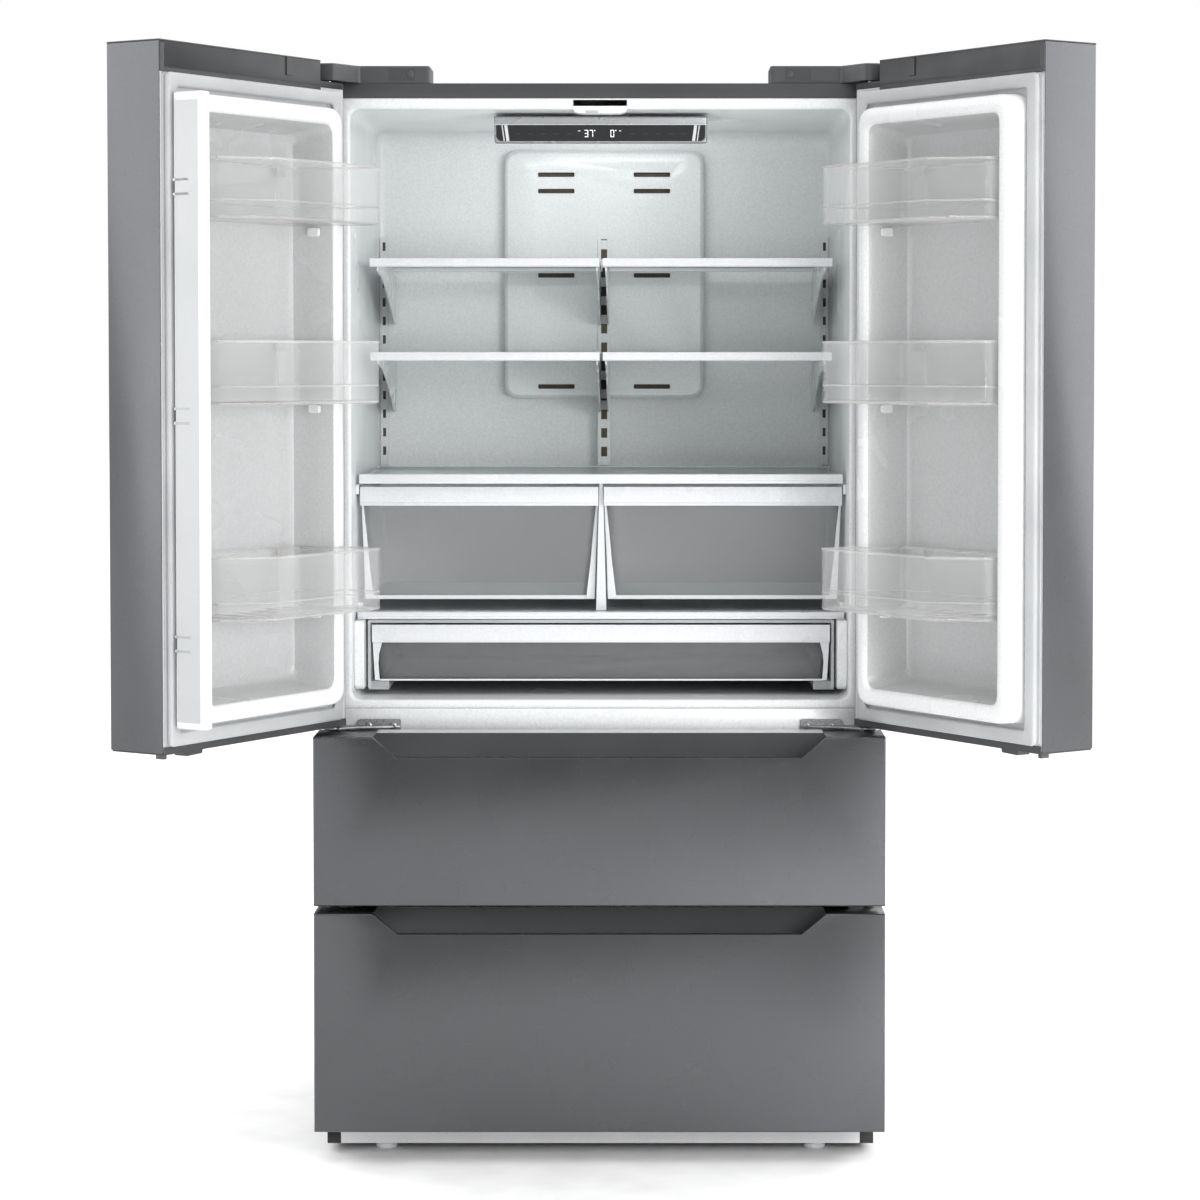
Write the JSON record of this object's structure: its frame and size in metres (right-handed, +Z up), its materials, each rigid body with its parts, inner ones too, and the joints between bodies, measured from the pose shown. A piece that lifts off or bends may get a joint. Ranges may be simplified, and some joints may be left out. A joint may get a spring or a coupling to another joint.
{
  "type": "french door refrigerator",
  "caption": "Bottom-freezer refrigerator with paired hinged upper doors standing open over shelves, bins and crisper drawers, and stacked pull-out freezer drawers below.",
  "frame": {"origin": "on the floor, below the middle of the open appliance's bounding box, on the cabinet's middle plane", "axes": "+X to the right seen from the front, +Y from the front to the rear, +Z up"},
  "size_m": [1.4877, 1.0595, 1.76],
  "materials": {
    "basket": "pale grey",
    "black_plastic": "black moulded",
    "cabinet_paint": "dark grey satin paint",
    "clear_bin": "clear",
    "copper": "bare copper tube",
    "crisper": "frosted clear with a white front rail",
    "dark_plastic": "dark grey moulded",
    "dark_steel": "dark vertical-grain brushed steel",
    "door_liner": "white door liner",
    "foam": "rigid foam",
    "gasket": "grey magnetic seal",
    "gloss_black": "glossy dark touch face",
    "rubber": "black",
    "satin_steel": "satin zinc-plated steel",
    "shelf": "clear glass with pale trims",
    "silver_trim": "silver",
    "white_liner": "white vacuum-formed liner",
    "zinc": "galvanised steel"
  },
  "bodies": {
    "cabinet": {"cabinet_shell": "cabinet_paint", "insulation_foam": "foam", "fridge_liner": "white_liner", "freezer_liner": "white_liner", "centre_rail": "white_liner", "back_panel": "zinc", "machine_room_cover": "black_plastic", "base_tray": "black_plastic", "toe_kick": "silver_trim", "compressor": "black_plastic", "condenser_coil": "copper", "evaporator_coil": "copper", "air_duct_cover": "white_liner", "top_shelf_left": "shelf", "top_shelf_right": "shelf", "middle_shelf_left": "shelf", "middle_shelf_right": "shelf", "crisper_cover_shelf": "shelf", "deli_cover_shelf": "shelf", "control_panel": "gloss_black", "flipper_guide": "door_liner", "upper_hinge_left": "satin_steel", "upper_hinge_right": "satin_steel", "lower_hinge_left": "satin_steel", "lower_hinge_right": "satin_steel", "hinge_cover_left": "dark_plastic", "hinge_cover_right": "dark_plastic"},
    "left_door": {"left_door_skin": "dark_steel", "left_door_cap": "dark_plastic", "left_door_liner": "door_liner", "left_door_gasket": "gasket", "left_bin_top": "clear_bin", "left_bin_middle": "clear_bin", "left_bin_bottom": "clear_bin"},
    "right_door": {"right_door_skin": "dark_steel", "right_door_cap": "dark_plastic", "right_door_liner": "door_liner", "right_door_gasket": "gasket", "right_bin_top": "clear_bin", "right_bin_middle": "clear_bin", "right_bin_bottom": "clear_bin"},
    "flipper": {"flipper_mullion": "door_liner"},
    "upper_drawer": {"upper_drawer_front": "dark_steel", "upper_drawer_basket": "basket"},
    "lower_drawer": {"lower_drawer_front": "dark_steel", "lower_drawer_basket": "basket"},
    "upper_slide_left": {"upper_slide_left_member": "zinc"},
    "upper_slide_right": {"upper_slide_right_member": "zinc"},
    "lower_slide_left": {"lower_slide_left_member": "zinc"},
    "lower_slide_right": {"lower_slide_right_member": "zinc"},
    "crisper_left": {"crisper_left_bin": "crisper"},
    "crisper_right": {"crisper_right_bin": "crisper"},
    "deli_drawer": {"deli_drawer_tray": "crisper"},
    "front_foot_left": {"front_foot_left_screw": "rubber"},
    "front_foot_right": {"front_foot_right_screw": "rubber"},
    "rear_roller_left": {"rear_roller_left_wheel": "black_plastic"},
    "rear_roller_right": {"rear_roller_right_wheel": "black_plastic"},
    "condenser_fan": {"condenser_fan_rotor": "black_plastic"},
    "evaporator_fan": {"evaporator_fan_rotor": "black_plastic"}
  },
  "joints": [
    {"name": "left_door_hinge", "type": "hinge", "parent": "cabinet", "child": "left_door", "pos_m": [-0.435, -0.122, 1.2], "axis": [0, 0, -1], "range_deg": [-121.5, 8.5]},
    {"name": "right_door_hinge", "type": "hinge", "parent": "cabinet", "child": "right_door", "pos_m": [0.435, -0.122, 1.2], "axis": [0, 0, 1], "range_deg": [-124.5, 5.5]},
    {"name": "flipper_hinge", "type": "hinge", "parent": "left_door", "child": "flipper", "pos_m": [-0.61689, -0.49691, 1.2], "axis": [0, 0, 1], "range_deg": [-90, 0]},
    {"name": "upper_drawer_slide", "type": "slide", "parent": "cabinet", "child": "upper_drawer", "axis": [0, -1, 0], "range_m": [0, 0.4]},
    {"name": "lower_drawer_slide", "type": "slide", "parent": "cabinet", "child": "lower_drawer", "axis": [0, -1, 0], "range_m": [0, 0.3]},
    {"name": "upper_slide_left_run", "type": "slide", "parent": "cabinet", "child": "upper_slide_left", "axis": [0, -1, 0], "range_m": [0, 0.2]},
    {"name": "upper_slide_right_run", "type": "slide", "parent": "cabinet", "child": "upper_slide_right", "axis": [0, -1, 0], "range_m": [0, 0.2]},
    {"name": "lower_slide_left_run", "type": "slide", "parent": "cabinet", "child": "lower_slide_left", "axis": [0, -1, 0], "range_m": [0, 0.15]},
    {"name": "lower_slide_right_run", "type": "slide", "parent": "cabinet", "child": "lower_slide_right", "axis": [0, -1, 0], "range_m": [0, 0.15]},
    {"name": "crisper_left_slide", "type": "slide", "parent": "cabinet", "child": "crisper_left", "axis": [0, -1, 0], "range_m": [0, 0.15]},
    {"name": "crisper_right_slide", "type": "slide", "parent": "cabinet", "child": "crisper_right", "axis": [0, -1, 0], "range_m": [0, 0.15]},
    {"name": "deli_drawer_slide", "type": "slide", "parent": "cabinet", "child": "deli_drawer", "axis": [0, -1, 0], "range_m": [0, 0.3]},
    {"name": "front_foot_left_screw", "type": "hinge", "parent": "cabinet", "child": "front_foot_left", "pos_m": [-0.349, -0.092, 0.02], "axis": [0, 0, 1], "continuous": true},
    {"name": "front_foot_right_screw", "type": "hinge", "parent": "cabinet", "child": "front_foot_right", "pos_m": [0.349, -0.092, 0.02], "axis": [0, 0, 1], "continuous": true},
    {"name": "rear_roller_left_axle", "type": "hinge", "parent": "cabinet", "child": "rear_roller_left", "pos_m": [-0.42, 0.48, 0.02], "axis": [1, 0, 0], "continuous": true},
    {"name": "rear_roller_right_axle", "type": "hinge", "parent": "cabinet", "child": "rear_roller_right", "pos_m": [0.42, 0.48, 0.02], "axis": [1, 0, 0], "continuous": true},
    {"name": "condenser_fan_shaft", "type": "hinge", "parent": "cabinet", "child": "condenser_fan", "pos_m": [-0.03, 0.415, 0.16], "axis": [1, 0, 0], "continuous": true},
    {"name": "evaporator_fan_shaft", "type": "hinge", "parent": "cabinet", "child": "evaporator_fan", "pos_m": [0, 0.442, 0.6], "axis": [0, 1, 0], "continuous": true}
  ],
  "couplings": [
    {"joint": "upper_slide_left_run", "follows": "upper_drawer_slide", "ratio": 0.5},
    {"joint": "upper_slide_right_run", "follows": "upper_drawer_slide", "ratio": 0.5},
    {"joint": "lower_slide_left_run", "follows": "lower_drawer_slide", "ratio": 0.5},
    {"joint": "lower_slide_right_run", "follows": "lower_drawer_slide", "ratio": 0.5}
  ]
}
